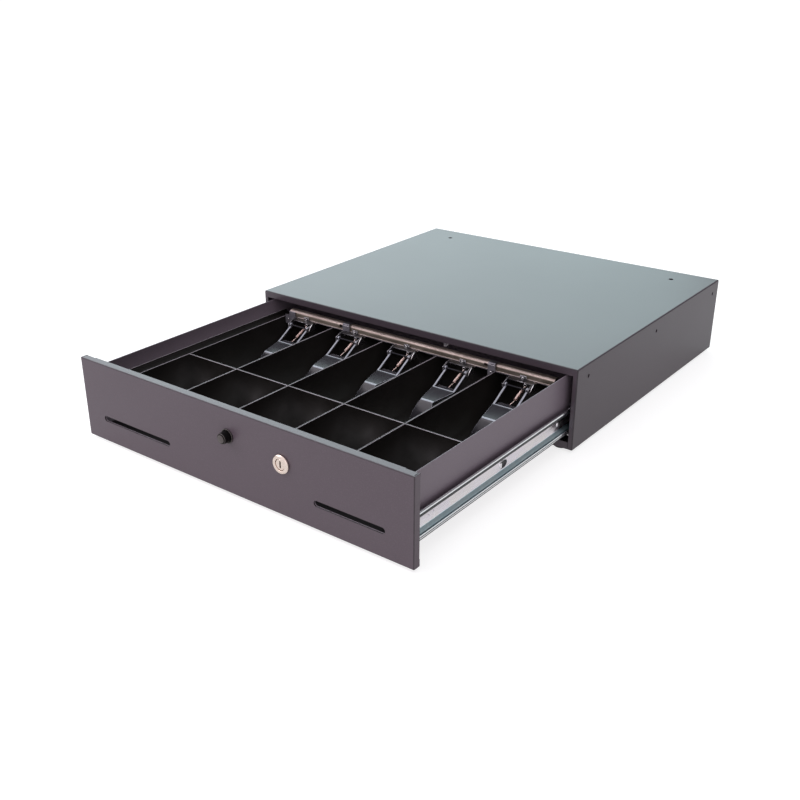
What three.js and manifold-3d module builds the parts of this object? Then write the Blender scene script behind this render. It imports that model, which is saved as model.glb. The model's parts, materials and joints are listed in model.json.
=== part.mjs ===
// A manual touch-button cash drawer, 18 in class, standing open: a folded steel case on rubber feet, a
// drawer on ball slides, a till with five note and five coin compartments, sprung note hold-downs, a
// push-button latch and a key lock.
//
// Millimetres. +Z is up and the drawer opens towards -Y. While the pieces are made, x = 0 is the middle of
// the case, y = 0 is the front edge of the case and z = 0 is the underside of the case. The last lines move
// the whole drawer so that its origin is the middle of its footprint, on the surface it stands on.
import * as THREE from "three";
import { mergeVertices } from "three/addons/utils/BufferGeometryUtils.js";
import Module from "manifold-3d";

const wasm = await Module();
wasm.setup();

// ---- driving dimensions ----

const GAP = 0.3; // between touching pieces
const CASE = { width: 452, depth: 386.6, height: 94.2, sheet: 1.2, bend: 1.8 };
const TRAVEL = 282; // of the drawer, from shut to open
const PANEL = { width: 454, bottom: 0.2, top: 94.1, depth: 9, sheet: 1.2, gap: 0.3 };
const FOOT = { height: 3.6, radius: 8.5, x: 207, front: 12, rear: 372, neck: 2.4, hole: 2.8, snap: 3.2 };
const PAN = { halfWidth: 212, bottom: 12, top: 84.4, rearTop: 60, sheet: 1, rear: 60 };
const TILL = {
  pitch: 79.6, wall: 1.8, bottom: 13.4, floor: 15, top: 63.4,
  front: -255, cross: -160, rear: 22, rimOut: 209.8, rimHeight: 4.2, rimSheet: 1.4,
};
const COLUMNS = [-2, -1, 0, 1, 2];
const SLIDE = {
  front: 8, length: 352, bottom: 12.4, height: 38, sheet: 1.2, bend: 2.5,
  innerInset: 3.8, innerTip: 6.8, outerTip: 2.2, // how far the lips reach from the drawer
};
const CAGE = {
  front: 10, length: 66, balls: 5, ballRadius: 1.2, sheet: 0.6,
  lip: 2.6, rows: 4.1, back: 8.6, // how far the strips' edges, the balls and the web are from the drawer
};
const SLOT = { z: 28.2, height: 6.4, spans: [[-197, -89.5], [111, 195]] };
const BUTTON = { z: 65, radius: 6, reach: 10, capBack: -289 };
const LOCK = { x: 72, z: 57, face: 3, head: 10, body: 8, plug: 5.8, barrelEnd: -266, plugEnd: -264.6 };
const HINGE = { y: -9, z: 60.6, pin: 1.2 };

// ---- places worked out from them ----

const halfCase = CASE.width / 2;
const innerCase = halfCase - CASE.sheet;
const caseTopInside = CASE.height - CASE.sheet;
const panelRear = -TRAVEL - PANEL.gap;
const panelFront = panelRear - PANEL.depth;
const panelBack = panelFront + PANEL.sheet; // the inner side of the panel's face
const panFront = panelBack + GAP;
const panInside = panFront + PAN.sheet;
const backFace = CASE.depth - 2.7; // the outer side of the inset rear panel
const tillHalf = 2.5 * TILL.pitch;

// ---- solids ----

// A closed three.js geometry as a manifold-3d solid. Its corners are rounded to a tenth of a micrometre, so
// that faces meant to lie in one plane do.
function solid(geometry) {
  const bare = geometry.clone();
  bare.deleteAttribute("normal");
  bare.deleteAttribute("uv");
  const merged = mergeVertices(bare, 1e-4);
  const corners = merged.getAttribute("position").array;
  const vertProperties = new Float32Array(corners.map((v) => Math.round(v * 1e4) / 1e4));
  const triVerts = new Uint32Array(merged.index.array);
  return new wasm.Manifold(new wasm.Mesh({ numProp: 3, vertProperties, triVerts }));
}

// A manifold-3d solid as a three.js geometry.
function geometryOf(made) {
  const { vertProperties, triVerts } = made.getMesh();
  const geometry = new THREE.BufferGeometry();
  geometry.setAttribute("position", new THREE.BufferAttribute(new Float32Array(vertProperties), 3));
  geometry.setIndex(new THREE.BufferAttribute(new Uint32Array(triVerts), 1));
  const faceted = geometry.toNonIndexed();
  faceted.computeVertexNormals();
  return faceted;
}

const join = (...solids) => solids.reduce((whole, one) => whole.add(one));
const cut = (body, ...tools) => tools.reduce((left, tool) => left.subtract(tool), body);

// A block between two corners.
function block([x0, x1], [y0, y1], [z0, z1]) {
  const geometry = new THREE.BoxGeometry(x1 - x0, y1 - y0, z1 - z0);
  return solid(geometry.translate((x0 + x1) / 2, (y0 + y1) / 2, (z0 + z1) / 2));
}

// The directions that an outline's two coordinates and its extrusion take, for each axis.
const X = new THREE.Vector3(1, 0, 0);
const Y = new THREE.Vector3(0, 1, 0);
const Z = new THREE.Vector3(0, 0, 1);
const PLANES = {
  x: new THREE.Matrix4().makeBasis(Y, Z, X), // outline in (y, z)
  y: new THREE.Matrix4().makeBasis(Z, X, Y), // outline in (z, x)
  z: new THREE.Matrix4().makeBasis(X, Y, Z), // outline in (x, y)
};

// An outline, as a THREE.Shape, drawn out along an axis between two places.
function prism(axis, shape, [from, to], curveSegments = 6) {
  const depth = to - from;
  const geometry = new THREE.ExtrudeGeometry(shape, { depth, bevelEnabled: false, curveSegments });
  return solid(geometry.translate(0, 0, from).applyMatrix4(PLANES[axis]));
}

const outline = (points) => new THREE.Shape(points.map(([a, b]) => new THREE.Vector2(a, b)));

// A round bar along an axis; (a, b) is its centre in the axis's outline coordinates.
function bar(axis, [a, b], radius, [from, to], sides = 16) {
  const geometry = new THREE.CylinderGeometry(radius, radius, to - from, sides);
  geometry.rotateX(Math.PI / 2).translate(a, b, (from + to) / 2);
  return solid(geometry.applyMatrix4(PLANES[axis]));
}

// Turned pieces: a profile of [radius, place] pairs spun about an axis through (a, b).
function turned(axis, [a, b], profile, sides = 20) {
  const geometry = new THREE.LatheGeometry(profile.map(([r, h]) => new THREE.Vector2(r, h)), sides);
  geometry.rotateX(Math.PI / 2).translate(a, b, 0);
  return solid(geometry.applyMatrix4(PLANES[axis]));
}

// A path with each inner corner rounded to a bend radius.
function bent(path, radius, steps = 3) {
  const points = path.map(([a, b]) => new THREE.Vector2(a, b));
  const rounded = points.flatMap((corner, i) => {
    if (i === 0 || i === points.length - 1) return [corner];
    const before = points[i - 1].clone().sub(corner).setLength(radius).add(corner);
    const after = points[i + 1].clone().sub(corner).setLength(radius).add(corner);
    return new THREE.QuadraticBezierCurve(before, corner, after).getPoints(steps);
  });
  return rounded.map((p) => [p.x, p.y]);
}

// The outline of a folded sheet whose outer skin follows a path; the metal lies to the right of the path.
function folded(path, thickness) {
  const points = path.map(([a, b]) => new THREE.Vector2(a, b));
  const normals = points.slice(1).map((p, i) => {
    const along = p.clone().sub(points[i]).normalize();
    return new THREE.Vector2(along.y, -along.x);
  });
  const inner = points.map((p, i) => {
    const before = normals[Math.max(i - 1, 0)];
    const after = normals[Math.min(i, normals.length - 1)];
    const mitre = before.clone().add(after).normalize();
    return p.clone().add(mitre.multiplyScalar(thickness / mitre.dot(after)));
  });
  return new THREE.Shape([...points, ...inner.reverse()]);
}

// A slot with round ends, level along X, seen from the front: centre z, height and the x span.
function slotShape(z, height, [from, to]) {
  const r = height / 2;
  const shape = new THREE.Shape();
  shape.moveTo(z - r, from + r);
  shape.lineTo(z - r, to - r);
  shape.absarc(z, to - r, r, Math.PI, 0, true);
  shape.lineTo(z + r, from + r);
  shape.absarc(z, from + r, r, 0, Math.PI, true);
  return shape;
}

const mirrored = (made) => made.mirror([1, 0, 0]);

// ---- materials ----

const finish = (color, roughness, metalness) =>
  new THREE.MeshStandardMaterial({ color, roughness, metalness });
const blackPaint = finish("#3b383c", 0.45, 0.1);
const drawerPaint = finish("#353236", 0.5, 0.1);
const zinc = finish("#c9c6c8", 0.3, 0.95);
const yellowZinc = finish("#a8926a", 0.35, 0.9);
const nickel = finish("#c8b8a4", 0.25, 1);
const copperWire = finish("#b07a62", 0.35, 0.9);
const tillPlastic = finish("#161415", 0.55, 0);
const paddlePlastic = finish("#2b2d33", 0.4, 0);
const buttonPlastic = finish("#121113", 0.35, 0);
const rubber = finish("#0e0e0e", 0.85, 0);
const springSteel = finish("#8f8f92", 0.35, 0.9);

const cashDrawer = new THREE.Group();

function piece(name, made, material) {
  const mesh = new THREE.Mesh(geometryOf(made), material);
  mesh.name = name;
  cashDrawer.add(mesh);
  return mesh;
}

// ---- case ----

const bracketHoles = { places: [25.4, 196.6, 369.4], z: 79.7, radius: 2 };
const topHoles = { x: 175, y: 352.5, radius: 2.9 };
const mouth = { top: 86, side: 220.5 }; // edges of the front opening
const backTab = { x: [180, 204], bottom: 78, sheet: 1.2 }; // tabs under the top for the rear panel's screws
const upstand = { height: 14, behind: 2.4 }; // the base's rear flange, which stands inside the rear panel

// Top and two sides folded from one sheet, with narrow returns round the front opening.
function caseCover() {
  const top = CASE.height;
  const skin = bent([[0, halfCase], [top, halfCase], [top, -halfCase], [0, -halfCase]], CASE.bend);
  const shell = prism("y", folded(skin, CASE.sheet), [0, CASE.depth]);
  const frontReturn = cut(
    prism("y", outline(skin), [0, CASE.sheet]),
    block([-mouth.side, mouth.side], [-1, CASE.sheet + 1], [-1, mouth.top]),
  );
  const tabBack = backFace - upstand.behind - GAP;
  const tab = block(backTab.x, [tabBack - backTab.sheet, tabBack], [backTab.bottom, top - CASE.sheet / 2]);
  const across = [-halfCase - 1, halfCase + 1];
  const sideHole = (y) => bar("x", [y, bracketHoles.z], bracketHoles.radius, across, 12);
  const sideHoles = bracketHoles.places.map(sideHole);
  const through = [top - 3, top + 1];
  const roofHole = (x) => bar("z", [x, topHoles.y], topHoles.radius, through, 14);
  const roofHoles = [-topHoles.x, topHoles.x].map(roofHole);
  return cut(join(shell, frontReturn, tab, mirrored(tab)), ...sideHoles, ...roofHoles);
}

// Floor pan: a front lip, low sides and an upstand that the rear panel is screwed to.
function caseBase() {
  const half = innerCase - GAP;
  const rear = backFace - upstand.behind - GAP;
  const lipHalf = mouth.side - GAP;
  const lipTop = 8.4;
  const sideTop = 8;
  const hemDepth = 3;
  const plate = block([-half, half], [CASE.sheet + GAP, rear], [0, CASE.sheet]);
  const lip = block([-lipHalf, lipHalf], [0, CASE.sheet], [0, lipTop]);
  const hem = block([-lipHalf, lipHalf], [0, hemDepth], [0, CASE.sheet]);
  const side = block([half - CASE.sheet, half], [CASE.sheet + GAP, rear], [0, sideTop]);
  const flange = block([-half, half], [rear - CASE.sheet, rear], [0, upstand.height]);
  const footHoles = footPlaces().map(({ x, y }) => bar("z", [x, y], FOOT.hole, [-1, CASE.sheet + 1], 12));
  return cut(join(plate, lip, hem, side, mirrored(side), flange), ...footHoles);
}

const EJECTOR = { z: 40, pin: 5.5, pinEnd: 350, inner: 6.4, outer: 8, free: 306 };

// Inset rear panel, with a pin that carries the ejector spring.
function caseBack() {
  const half = innerCase - GAP;
  const top = caseTopInside - GAP;
  const inside = backFace - CASE.sheet;
  const face = block([-half, half], [inside, backFace], [CASE.sheet + GAP, top]);
  const rim = [inside, CASE.depth - 0.4];
  const roofEdge = block([-half, half], rim, [top - CASE.sheet, top]);
  const sideEdge = block([half - CASE.sheet, half], rim, [CASE.sheet + GAP, top]);
  const pin = bar("y", [EJECTOR.z, 0], EJECTOR.pin, [EJECTOR.pinEnd, inside + 0.5]);
  return join(face, roofEdge, sideEdge, mirrored(sideEdge), pin);
}

// Pushes the drawer out when the latch lets go; it is the space that the coils fill.
function ejectorSpring() {
  const { z, inner, outer, free } = EJECTOR;
  return ring("y", [z, 0], inner, outer, [free, backFace - CASE.sheet - GAP]);
}

// A plain tube, the space that a coil spring fills.
function ring(axis, centre, inner, outer, [from, to], sides = 16) {
  const bore = bar(axis, centre, inner, [from - 1, to + 1], sides);
  return cut(bar(axis, centre, outer, [from, to], sides), bore);
}

function footPlaces() {
  return [
    { name: "front_left", x: -FOOT.x, y: FOOT.front },
    { name: "front_right", x: FOOT.x, y: FOOT.front },
    { name: "rear_left", x: -FOOT.x, y: FOOT.rear },
    { name: "rear_right", x: FOOT.x, y: FOOT.rear },
  ];
}

// Rubber foot with a spigot that snaps through the floor pan.
function foot({ x, y }) {
  const { height, radius, neck, snap } = FOOT;
  const snapTop = CASE.sheet + 3;
  const profile = [
    [0, -height], [radius - 1, -height], [radius, -height + 1], [radius, -1], [radius - 0.8, -GAP],
    [neck, -GAP], [neck, CASE.sheet + GAP], [snap, CASE.sheet + GAP], [neck - 1, snapTop], [0, snapTop],
  ];
  return turned("z", [x, y], profile);
}

// Head of a pan-head screw that faces +Y, with a cross recess.
function screw([x, z], seat, head) {
  const profile = [[0, 0.1], [head, 0.1], [head, 1.1], [head * 0.55, 2], [0, 2]];
  const made = turned("z", [0, 0], profile, 12);
  const depth = [1.3, 3];
  const cross = join(block([-2, 2], [-0.4, 0.4], depth), block([-0.4, 0.4], [-2, 2], depth));
  return cut(made, cross).rotate([-90, 0, 0]).translate([x, seat + GAP, z]);
}

// Bent plate under the case top, which the lock's cam turns up behind.
function lockStrike() {
  const [left, right] = [46, 86];
  const [front, sheet, footDepth] = [15, 1.5, 24];
  const [tip, bottom] = [75, 79];
  const top = caseTopInside - GAP;
  const hanging = prism("y", outline([
    [bottom, right], [top, right], [top, left], [tip, left], [tip, left + 4], [bottom, left + 7],
  ]), [front, front + sheet]);
  const foot = block([left, right], [front, front + footDepth], [top - sheet, top]);
  return join(hanging, foot);
}

// ---- ball slides, right hand side ----

const slideWall = innerCase - GAP; // where the fixed member lies on the case
const slideFace = PAN.halfWidth + GAP; // where the moving member lies on the drawer

// Fixed member: a channel that opens towards the drawer.
function slideOuter() {
  const [low, high] = [SLIDE.bottom, SLIDE.bottom + SLIDE.height];
  const tip = slideFace + SLIDE.outerTip;
  const path = bent([[low, tip], [low, slideWall], [high, slideWall], [high, tip]], SLIDE.bend);
  return prism("y", folded(path, SLIDE.sheet), [SLIDE.front, SLIDE.front + SLIDE.length]);
}

// Moving member: a narrower channel that opens towards the case.
function slideInner() {
  const [low, high] = [SLIDE.bottom + SLIDE.innerInset, SLIDE.bottom + SLIDE.height - SLIDE.innerInset];
  const tip = slideFace + SLIDE.innerTip;
  const path = bent([[high, tip], [high, slideFace], [low, slideFace], [low, tip]], SLIDE.bend);
  const front = SLIDE.front - TRAVEL;
  return prism("y", folded(path, SLIDE.sheet), [front, front + SLIDE.length]);
}

// Ball cage between them: a thin channel that holds two rows of balls.
function ballCage() {
  const middle = SLIDE.innerInset / 2 + SLIDE.sheet / 2;
  const rows = [SLIDE.bottom + middle, SLIDE.bottom + SLIDE.height - middle];
  const half = CAGE.sheet / 2;
  const web = slideFace + CAGE.back;
  const along = [CAGE.front, CAGE.front + CAGE.length];
  const strip = (z) => block([slideFace + CAGE.lip, web], along, [z - half, z + half]);
  const back = block([web - CAGE.sheet, web], along, [rows[0] - half, rows[1] + half]);
  const margin = 5;
  const step = (CAGE.length - 2 * margin) / (CAGE.balls - 1);
  const balls = rows.flatMap((z) => Array.from({ length: CAGE.balls }, (_, i) => {
    const ball = new THREE.SphereGeometry(CAGE.ballRadius, 6, 4);
    return solid(ball.translate(slideFace + CAGE.rows, CAGE.front + margin + i * step, z));
  }));
  return join(back, ...rows.map(strip), ...balls);
}

// ---- drawer ----

const slotCutters = () => SLOT.spans.map((span) =>
  prism("y", slotShape(SLOT.z, SLOT.height, span), [panelFront - 1, panInside + 1], 5));

// Holes that the button's cup and the lock's barrel pass through.
const fittingHoles = (span) => [
  bar("y", [BUTTON.z, 0], 7.3, span),
  bar("y", [LOCK.z, LOCK.x], LOCK.body + 0.4, span),
];

// Folded steel pan that everything in the drawer stands in.
function drawerTray() {
  const { halfWidth: half, bottom, top, sheet, rear } = PAN;
  const skin = block([-half, half], [panFront, rear], [bottom, top]);
  const inside = [-half + sheet, half - sheet];
  const hollow = block(inside, [panInside, rear - sheet], [bottom + sheet, top + 1]);
  const rearDip = block(inside, [rear - 2 * sheet, rear + 1], [PAN.rearTop, top + 1]);
  return cut(skin, hollow, rearDip, ...slotCutters(), ...fittingHoles([panFront - 1, panInside + 1]));
}

// Front panel: a shallow pan whose corners are left open where the flanges meet.
function frontPanel() {
  const half = PANEL.width / 2;
  const { sheet, bottom, top } = PANEL;
  const skin = block([-half, half], [panelFront, panelRear], [bottom, top]);
  const inside = [-half + sheet, half - sheet];
  const hollow = block(inside, [panelBack, panelRear + 1], [bottom + sheet, top - sheet]);
  const edge = [top - sheet - 1, top + 1];
  const seam = block([half - sheet - 0.5, half - sheet], [panelBack + 1, panelRear + 1], edge);
  const relief = block([half - 15, half - sheet], [panelRear - 0.9, panelRear + 1], edge);
  const notch = block([half - sheet - 1, half + 1], [panelRear - 0.5, panelRear + 1], [8, top - sheet - 2]);
  const corners = [seam, relief, notch].flatMap((tool) => [tool, mirrored(tool)]);
  return cut(skin, hollow, ...corners, ...slotCutters(), ...fittingHoles([panelFront - 1, panelBack + 1]));
}

// Moulded till: five note compartments behind five coin compartments, inside a raised outer rim.
function tillTray() {
  const { wall, bottom, floor, top, front, rear, pitch, cross, rimOut, rimHeight, rimSheet } = TILL;
  const half = tillHalf + wall / 2;
  const body = block([-half, half], [front, rear], [bottom, top]);
  const rows = [[front + wall, cross - wall / 2], [cross + wall / 2, rear - wall]];
  const pockets = COLUMNS.flatMap((column) => {
    const x = column * pitch;
    const span = [x - (pitch - wall) / 2, x + (pitch - wall) / 2];
    return rows.map((row) => block(span, row, [floor, top + 1]));
  });
  const ledge = block([half - wall / 2, rimOut], [front, rear], [top - rimSheet, top]);
  const rim = block([rimOut - rimSheet, rimOut], [front, rear], [top - rimSheet, top + rimHeight]);
  return cut(join(body, ledge, rim, mirrored(ledge), mirrored(rim)), ...pockets);
}

// ---- note hold-downs ----

const RAIL = {
  left: -190, right: 195, front: 7.8, depth: 8.8, bottom: TILL.top + GAP, height: 9.4, sheet: 1.2,
};
const bracketSheet = 1.2;
const railStrap = [RAIL.front - GAP - bracketSheet, RAIL.front - GAP]; // sheet that lies on the rail's front

// The clips that tie the rail down: the spans of each strap and of the tab that hangs from it, and the
// height of the tab's lower edge.
const CLIPS = {
  end: { strap: [-189.5, -180], tab: [-197, -180], low: 54 },
  left: { strap: [-100.4, -89.6], tab: [-100.4, -96.6], low: 58.3 },
  right: { strap: [111.8, 121.7], tab: [111.8, 118.2], low: 58.3 },
};
const NOTCH = { length: 6, height: 3.6, lift: 5.4 }; // in the rail's front, to the left of a clip

// Plated channel that lies across the dividers.
function holdDownRail() {
  const { left, right, bottom, height, front, depth, sheet } = RAIL;
  const [top, rear] = [bottom + height, front + depth];
  const path = bent([[front, bottom], [front, top], [rear, top], [rear, bottom]], 1.5);
  const channel = prism("x", folded(path, sheet), [left, right]);
  const middle = bottom + NOTCH.lift;
  const tall = [middle - NOTCH.height / 2, middle + NOTCH.height / 2];
  const deep = [front - 1, front + sheet + 1];
  const notch = ({ strap }) => block([strap[0] - NOTCH.length, strap[0]], deep, tall);
  return cut(channel, notch(CLIPS.left), notch(CLIPS.right));
}

// Clip on the rail's front: a strap, and a tab that hangs down inside a compartment.
function railFoot({ strap, tab, low }) {
  const { bottom, height } = RAIL;
  const lowEdge = bottom + bracketSheet + GAP; // clear of the brackets' plates
  const band = block(strap, railStrap, [lowEdge, bottom + height - 1.5]);
  return join(band, block(tab, railStrap, [low, lowEdge + 1]));
}

// Bracket on the rail that carries one hold-down: a plate, a riveted tab and two ears.
function holdDownBracket(x) {
  const [low, high] = [RAIL.bottom, RAIL.bottom + bracketSheet];
  const { y, z } = HINGE;
  const half = 16.4;
  const nose = -1.5;
  const plate = block([x - half, x + half], [nose, railStrap[1]], [low, high]);
  const tab = block([x - 5.5, x + 2.5], railStrap, [low, low + 5]);
  const tip = high + 1.6;
  const earShape = outline([
    [3, tip], [-3, tip], [y - 3.4, z + 2], [y - 3.6, z - 2.6], [y, z - 4], [3, z - 3],
  ]);
  const ear = (from, to) => prism("x", earShape, [from, to]);
  const ears = [ear(x - half, x - half + bracketSheet), ear(x + half - bracketSheet, x + half)];
  const bore = bar("x", [y, z], HINGE.pin + 0.05, [x - half - 1, x + half + 1], 12);
  return cut(join(plate, tab, ...ears), bore);
}

const hingePin = (x) => bar("x", [HINGE.y, HINGE.z], HINGE.pin, [x - 17, x + 17], 12);

// Moulded paddle: two arms, a level plate that reaches back between them and narrows to a crest, and a toe
// that spreads down to the compartment's floor.
function paddle(x) {
  const half = { arms: 14.7, window: 12.4, crest: 8.1, toe: 17 };
  const at = { tongue: -25, plate: -34, crest: -66.6, toe: -79 };
  const [level, sheet] = [45.8, 1.9];
  const path = [[at.toe, 15.6], [-75, 30], [at.crest, 43.8], [at.plate, level], [HINGE.y, HINGE.z]];
  const profile = prism("x", folded(bent(path, 3, 2), sheet), [x - 20, x + 20]);
  const right = [[half.arms, 0], [half.arms, at.plate], [half.crest, at.crest], [half.toe, at.toe - 2]];
  const left = right.map(([across, y]) => [-across, y]).reverse();
  const plan = outline([...right, ...left].map(([across, y]) => [x + across, y]));
  const window = block([x - half.window, x + half.window], [at.plate + 1, 5], [40, 70]);
  const tongueSpan = [x - half.window + 0.6, x + half.window - 0.6];
  const tongue = block(tongueSpan, [at.plate - 2, at.tongue], [level - sheet, level - 0.1]);
  const blade = join(cut(profile.intersect(prism("z", plan, [10, 70])), window), tongue);
  const boss = (from, to) => bar("x", [HINGE.y, HINGE.z], 2.6, [from, to], 12);
  const bosses = [boss(x - half.arms, x - half.window), boss(x + half.window, x + half.arms)];
  const bore = bar("x", [HINGE.y, HINGE.z], HINGE.pin + 0.05, [x - 18, x + 18], 12);
  return cut(join(blade, ...bosses), bore);
}

// Extension spring between the bracket and the paddle, as the bar of space that its coils fill.
function holdDownSpring(x) {
  const spring = { x: 5.5, radius: 1.8, top: [-6, 57.6], low: [-22, 51.2] };
  const [run, rise] = [spring.top[0] - spring.low[0], spring.top[1] - spring.low[1]];
  const slope = THREE.MathUtils.radToDeg(Math.atan2(rise, run));
  const lying = bar("y", [0, 0], spring.radius, [0, Math.hypot(run, rise)], 10);
  return lying.rotate([slope, 0, 0]).translate([x + spring.x, ...spring.low]);
}

// ---- push-button latch ----

const LATCH = {
  plateFront: -277.5, plateBack: -276, halfWidth: 10.4, bottom: 46, top: 82, shelf: 36, cheeks: -262,
};
const RAMP = { x: 4, y: -270, low: 58, high: 72 }; // a 45 degree face that passes (y, BUTTON.z)
const bezelEnd = -280; // inner side of the cup's floor

// Flanged cup in the panel that the button slides in.
function buttonBezel() {
  const bore = BUTTON.radius + GAP;
  const [face, back, floorBack] = [panelFront - 1.5, panelFront - GAP, bezelEnd + 1.4];
  const profile = [
    [bore, face], [7.4, face], [7.8, face + 0.4], [7.8, back], [7, back], [7, floorBack], [3.3, floorBack],
    [3.3, bezelEnd], [bore, bezelEnd], [bore, face],
  ];
  return turned("y", [BUTTON.z, 0], profile, 24);
}

// Button cap and stem. The stem's end is cut at 45 degrees to push the latch's RAMP.
function releaseButton() {
  const tip = panelFront - BUTTON.reach;
  const { capBack } = BUTTON;
  const stemEnd = RAMP.y + 6;
  const r = BUTTON.radius;
  const profile = [
    [0, tip], [r * 0.72, tip + 0.3], [r * 0.93, tip + 1.1], [r, tip + 2.4],
    [r, capBack], [3, capBack], [3, stemEnd], [0, stemEnd],
  ];
  const whole = turned("y", [BUTTON.z, 0], profile, 24);
  const slope = (z) => RAMP.y + z - BUTTON.z - GAP * Math.SQRT2;
  const [low, high, back] = [40, 90, 0];
  const behind = outline([[slope(low), low], [back, low], [back, high], [slope(high), high]]);
  return cut(whole, prism("x", behind, [-10, 10]));
}

const buttonSpring = () => ring("y", [BUTTON.z, 0], 3.4, 5, [BUTTON.capBack + GAP, bezelEnd - GAP], 12);

// Guide on the back of the drawer's front wall: cheeks, lips that keep the latch in, and a spring shelf.
function latchBracket() {
  const { shelf, cheeks, plateBack } = LATCH;
  const sheet = 1.2;
  const outside = 12.2;
  const wall = panInside + GAP;
  const tall = [shelf, 78];
  const back = block([-22, 22], [wall, wall + sheet], [shelf - 6, 80]);
  const cheek = block([outside - sheet, outside], [wall, cheeks], tall);
  const lip = block([8.5, outside], [plateBack + 1.3, plateBack + 1.3 + sheet], tall);
  const floor = block([-outside, outside], [wall, cheeks], [shelf, shelf + sheet]);
  const hole = bar("y", [BUTTON.z, 0], 7.5, [wall - 1, wall + 2]);
  return cut(join(back, cheek, mirrored(cheek), lip, mirrored(lip), floor), hole);
}

// Latch plate: a nose that catches behind the case's top return, a window for the stem and a RAMP.
function latchPlate() {
  const { plateFront, plateBack, halfWidth, bottom, top } = LATCH;
  const plate = block([-halfWidth, halfWidth], [plateFront, plateBack], [bottom, top]);
  const window = block([-RAMP.x, RAMP.x], [plateFront - 1, plateBack + 1], [RAMP.low, top - 8]);
  const catchFace = -TRAVEL + CASE.sheet + GAP; // just behind the case's return when the drawer is shut
  const nose = prism("x", outline([
    [catchFace, top - 3], [catchFace, 90], [catchFace + 1.3, 90], [-275, top + 1.5], [-275, top - 3],
  ]), [-8, 8]);
  const wedge = prism("x", outline([
    [RAMP.y + RAMP.low - BUTTON.z, RAMP.low], [RAMP.y + RAMP.high - BUTTON.z, RAMP.high],
    [RAMP.y + 8.5, RAMP.high], [RAMP.y + 8.5, RAMP.low - 4], [plateFront, RAMP.low - 4],
    [plateFront, RAMP.low],
  ]), [-RAMP.x, RAMP.x]);
  return join(cut(plate, window), nose, wedge);
}

const latchSpring = () =>
  ring("z", [0, -268.5], 2.4, 3.6, [LATCH.shelf + 1.2 + GAP, RAMP.low - 4 - GAP], 12);

// ---- key lock ----

const lockFace = panelFront - LOCK.face;

// Barrel with a round face, which passes through the panel.
function lockCylinder() {
  const { head, body, plug, barrelEnd } = LOCK;
  const bore = plug + GAP;
  const profile = [
    [bore, lockFace], [head - 1, lockFace], [head, lockFace + 1], [head, panelFront - GAP],
    [body, panelFront - GAP], [body, barrelEnd], [bore, barrelEnd], [bore, lockFace],
  ];
  return turned("y", [LOCK.z, LOCK.x], profile, 28);
}

const lockNut = () => cut(
  bar("y", [LOCK.z, LOCK.x], 13, [panInside + GAP, panInside + 4.5], 6),
  bar("y", [LOCK.z, LOCK.x], LOCK.body + GAP, [panInside - 1, panInside + 6], 28),
);

// Plug that the key turns, with an upright keyway.
function lockPlug() {
  const { x, z, plug, plugEnd } = LOCK;
  const face = lockFace + 0.6;
  const profile = [[0, face], [plug - 0.4, face], [plug, face + 0.4], [plug, plugEnd], [0, plugEnd]];
  const keyway = block([x - 0.9, x + 0.9], [lockFace - 1, lockFace + 9], [z - 3.6, z + 3.6]);
  return cut(turned("y", [z, x], profile, 24), keyway);
}

// Cam on the end of the plug, which lies level while the drawer is unlocked.
function lockCam() {
  const { x, z, plugEnd } = LOCK;
  const arm = { reach: 31, half: 4.5, hub: 7, thick: 2 };
  const along = [plugEnd + GAP, plugEnd + GAP + arm.thick];
  const blade = block([x - arm.reach, x], along, [z - arm.half, z + arm.half]);
  return join(bar("y", [z, x], arm.hub, along, 20), blade);
}

// ---- assembly ----

piece("case_cover", caseCover(), blackPaint);
piece("case_base", caseBase(), blackPaint);
piece("case_back", caseBack(), blackPaint);
piece("lock_strike", lockStrike(), zinc);
piece("ejector_spring", ejectorSpring(), springSteel);
footPlaces().forEach((place) => piece("foot_" + place.name, foot(place), rubber));
// Screws at four corners; each corner is [x, z] on the right hand side.
function fourScrews(name, upper, lower, seat, head) {
  for (const [height, [x, z]] of Object.entries({ upper, lower })) {
    piece(`${name}_${height}_left`, screw([-x, z], seat, head), zinc);
    piece(`${name}_${height}_right`, screw([x, z], seat, head), zinc);
  }
}

fourScrews("back_screw", [192, 84], [192, 8], backFace, 3.4);

const hands = { left: mirrored, right: (made) => made };
for (const [hand, turn] of Object.entries(hands)) {
  piece("slide_outer_" + hand, turn(slideOuter()), zinc);
  piece("ball_cage_" + hand, turn(ballCage()), springSteel);
  piece("slide_inner_" + hand, turn(slideInner()), zinc);
}

piece("drawer_tray", drawerTray(), drawerPaint);
piece("front_panel", frontPanel(), blackPaint);
fourScrews("panel_screw", [190, 74], [205, 18], panInside, 2.8);
piece("till_tray", tillTray(), tillPlastic);
piece("hold_down_rail", holdDownRail(), yellowZinc);
for (const [name, clip] of Object.entries(CLIPS)) {
  piece("rail_foot_" + name, railFoot(clip), zinc);
}
COLUMNS.forEach((column, i) => {
  const x = column * TILL.pitch;
  piece("hold_down_bracket_" + (i + 1), holdDownBracket(x), paddlePlastic);
  piece("hold_down_pin_" + (i + 1), hingePin(x), zinc);
  piece("hold_down_paddle_" + (i + 1), paddle(x), paddlePlastic);
  piece("hold_down_spring_" + (i + 1), holdDownSpring(x), copperWire);
});

piece("button_bezel", buttonBezel(), buttonPlastic);
piece("button_spring", buttonSpring(), springSteel);
piece("release_button", releaseButton(), buttonPlastic);
piece("latch_bracket", latchBracket(), zinc);
piece("latch_plate", latchPlate(), zinc);
piece("latch_spring", latchSpring(), springSteel);
piece("lock_cylinder", lockCylinder(), nickel);
piece("lock_nut", lockNut(), zinc);
piece("lock_plug", lockPlug(), nickel);
piece("lock_cam", lockCam(), zinc);

const buttonTip = panelFront - BUTTON.reach;
cashDrawer.position.set(0, -(buttonTip + CASE.depth) / 2, FOOT.height);

export default cashDrawer;
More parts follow.
